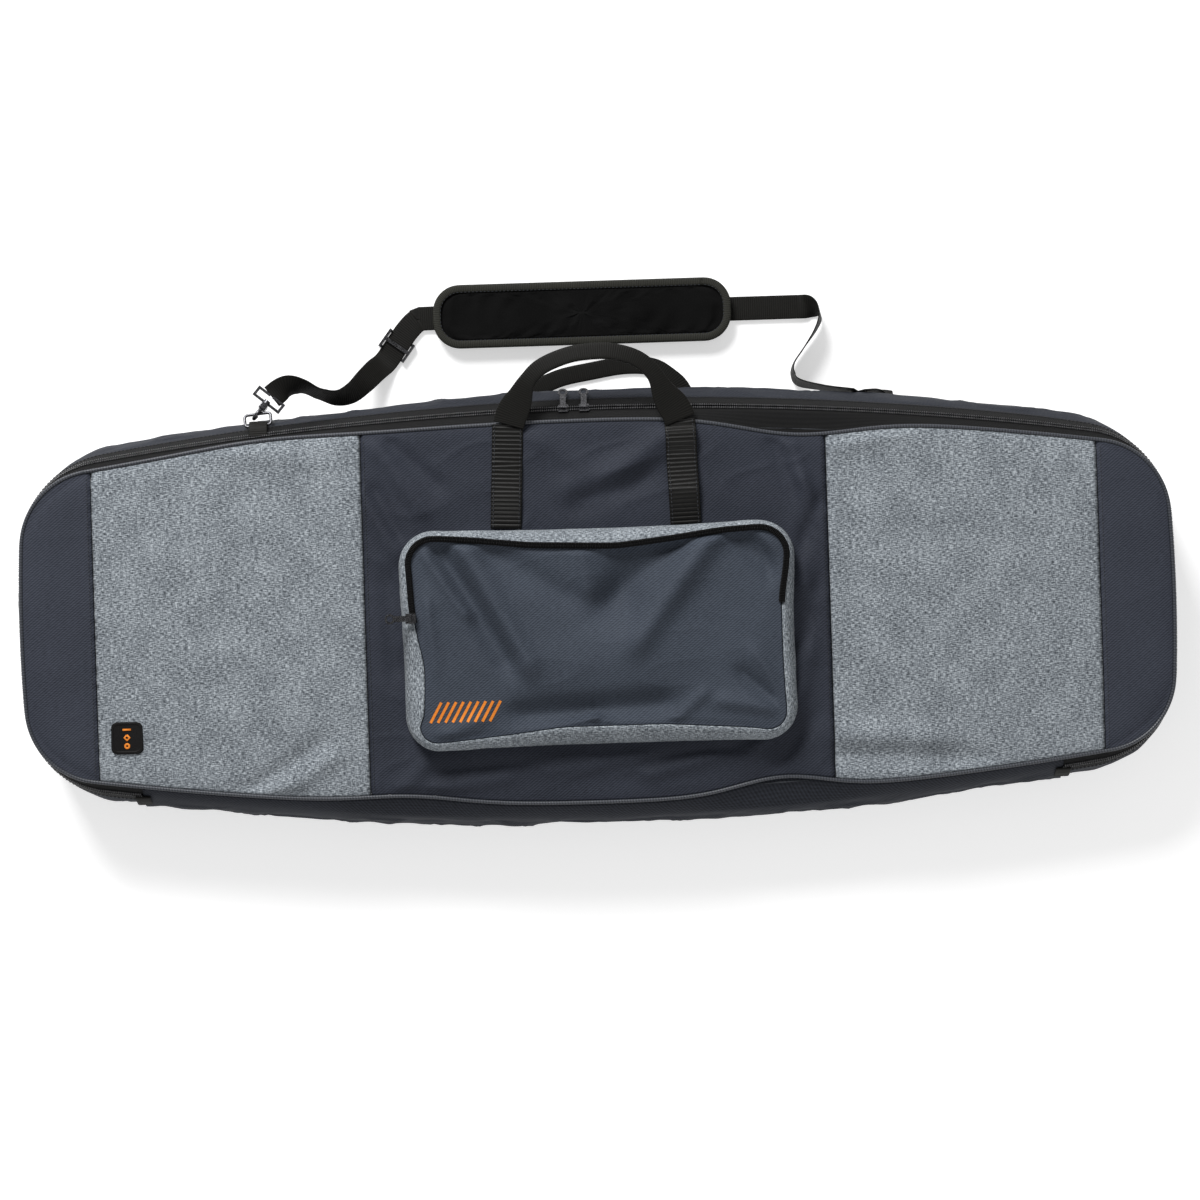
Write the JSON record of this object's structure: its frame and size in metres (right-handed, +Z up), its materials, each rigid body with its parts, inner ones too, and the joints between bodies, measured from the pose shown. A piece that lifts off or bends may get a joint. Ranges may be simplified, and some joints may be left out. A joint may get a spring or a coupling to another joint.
{
  "type": "padded board bag",
  "caption": "Long padded board bag with rounded ends, zip-round lid, front pocket, webbing carry handles and a clip-on shoulder strap with a pad.",
  "frame": {"origin": "centre of the back face, on the floor the bag lies on", "axes": "+X along the bag, +Y to the side with the zip sliders, handles and shoulder strap, +Z up out of the front panel"},
  "size_m": [1.4, 0.671, 0.1646],
  "materials": {
    "navy": "fine twill, slight sheen",
    "heather": "melange canvas",
    "back_cloth": "coated cloth",
    "padding": "closed-cell foam",
    "edging": "bound piping",
    "webbing": "ribbed webbing",
    "zip_nylon": "coil teeth",
    "dark_metal": "dark nickel",
    "badge_rubber": "moulded",
    "pad_cloth": "brushed knit"
  },
  "bodies": {
    "base": {"back_panel": "back_cloth", "back_foam": "padding", "back_piping": "edging", "zip_gusset": "navy", "bottom_gusset": "navy", "zip_coil_base": "zip_nylon", "zip_tab_left": "webbing", "zip_tab_right": "webbing", "ring_tab": "webbing", "strap_ring": "dark_metal", "strap_end": "webbing"},
    "lid": {"front_panel_centre": "navy", "side_panel_left": "heather", "side_panel_right": "heather", "tip_panel_left": "navy", "tip_panel_right": "navy", "front_foam": "padding", "front_piping": "edging", "zip_band": "webbing", "zip_coil_lid": "zip_nylon", "badge": "badge_rubber", "handle_strap_left": "webbing", "handle_strap_right": "webbing", "pocket_gusset": "heather", "pocket_front": "navy", "pocket_coil_gusset": "zip_nylon"},
    "slider_left": {"slider_left": "dark_metal"},
    "slider_right": {"slider_right": "dark_metal"},
    "puller_left": {"puller_left": "dark_metal"},
    "puller_right": {"puller_right": "dark_metal"},
    "front_handle": {"front_handle": "webbing"},
    "back_handle": {"back_handle": "webbing"},
    "pocket_flap": {"pocket_flap": "navy", "pocket_coil_flap": "zip_nylon"},
    "pocket_slider": {"pocket_slider": "dark_metal"},
    "pocket_puller": {"pocket_puller": "dark_metal"},
    "shoulder_strap": {"swivel_loop": "dark_metal", "strap_webbing": "webbing"},
    "strap_hook": {"strap_hook": "dark_metal"},
    "hook_bolt": {"hook_bolt": "dark_metal"},
    "strap_adjuster": {"strap_adjuster": "dark_metal"},
    "shoulder_pad": {"pad_sleeve": "pad_cloth", "pad_cover": "pad_cloth", "pad_foam": "padding", "pad_face": "pad_cloth", "pad_binding": "webbing"}
  },
  "joints": [
    {"name": "lid_hinge", "type": "hinge", "parent": "base", "child": "lid", "pos_m": [0, -0.2342, 0.1214], "axis": [1, 0, 0], "range_deg": [0, 175]},
    {"name": "slider_left_travel", "type": "hinge", "parent": "lid", "child": "slider_left", "pos_m": [0, -3.77214, 0.1075], "axis": [0, 0, 1], "range_deg": [0, 4.5]},
    {"name": "slider_right_travel", "type": "hinge", "parent": "lid", "child": "slider_right", "pos_m": [0, -3.77214, 0.1075], "axis": [0, 0, 1], "range_deg": [-3.9, 0]},
    {"name": "puller_left_flip", "type": "hinge", "parent": "slider_left", "child": "puller_left", "pos_m": [-0.03403, 0.24657, 0.11093], "axis": [1, 0.0085, 0], "range_deg": [0, 160]},
    {"name": "puller_right_flip", "type": "hinge", "parent": "slider_right", "child": "puller_right", "pos_m": [-0.00901, 0.2467, 0.11093], "axis": [1, 0.0022, 0], "range_deg": [0, 160]},
    {"name": "front_handle_swing", "type": "hinge", "parent": "lid", "child": "front_handle", "pos_m": [0, 0.2263, 0.1242], "axis": [1, 0, 0], "range_deg": [0, 150]},
    {"name": "back_handle_swing", "type": "hinge", "parent": "base", "child": "back_handle", "pos_m": [0, 0.23395, 0.0006], "axis": [1, 0, 0], "range_deg": [-150, 12]},
    {"name": "pocket_flap_fold", "type": "hinge", "parent": "lid", "child": "pocket_flap", "pos_m": [0, 0.005, 0.159], "axis": [1, 0, 0], "range_deg": [0, 110]},
    {"name": "pocket_slider_travel", "type": "slide", "parent": "lid", "child": "pocket_slider", "axis": [0, 1, 0], "range_m": [0, 0.055]},
    {"name": "pocket_puller_flip", "type": "hinge", "parent": "pocket_slider", "child": "pocket_puller", "pos_m": [-0.2226, -0.002, 0.1629], "axis": [0, 1, 0], "range_deg": [0, 170]},
    {"name": "strap_swing", "type": "hinge", "parent": "base", "child": "shoulder_strap", "pos_m": [-0.40392, 0.25078, 0.0905], "axis": [0.9993, 0.0085, -0.0363], "range_deg": [0, 110]},
    {"name": "hook_swivel", "type": "hinge", "parent": "shoulder_strap", "child": "strap_hook", "pos_m": [-0.40392, 0.25078, 0.0905], "axis": [0.6194, 0.7592, -0.1998], "range_deg": [-20, 20]},
    {"name": "hook_bolt_slide", "type": "slide", "parent": "strap_hook", "child": "hook_bolt", "axis": [0.6194, 0.7592, -0.1998], "range_m": [0, 0.0065]},
    {"name": "adjuster_slide", "type": "slide", "parent": "shoulder_strap", "child": "strap_adjuster", "axis": [0.6, 0.8, 0], "range_m": [-0.01, 0.01]},
    {"name": "pad_slide", "type": "slide", "parent": "shoulder_strap", "child": "shoulder_pad", "axis": [1, 0, 0], "range_m": [-0.005, 0.07]}
  ]
}
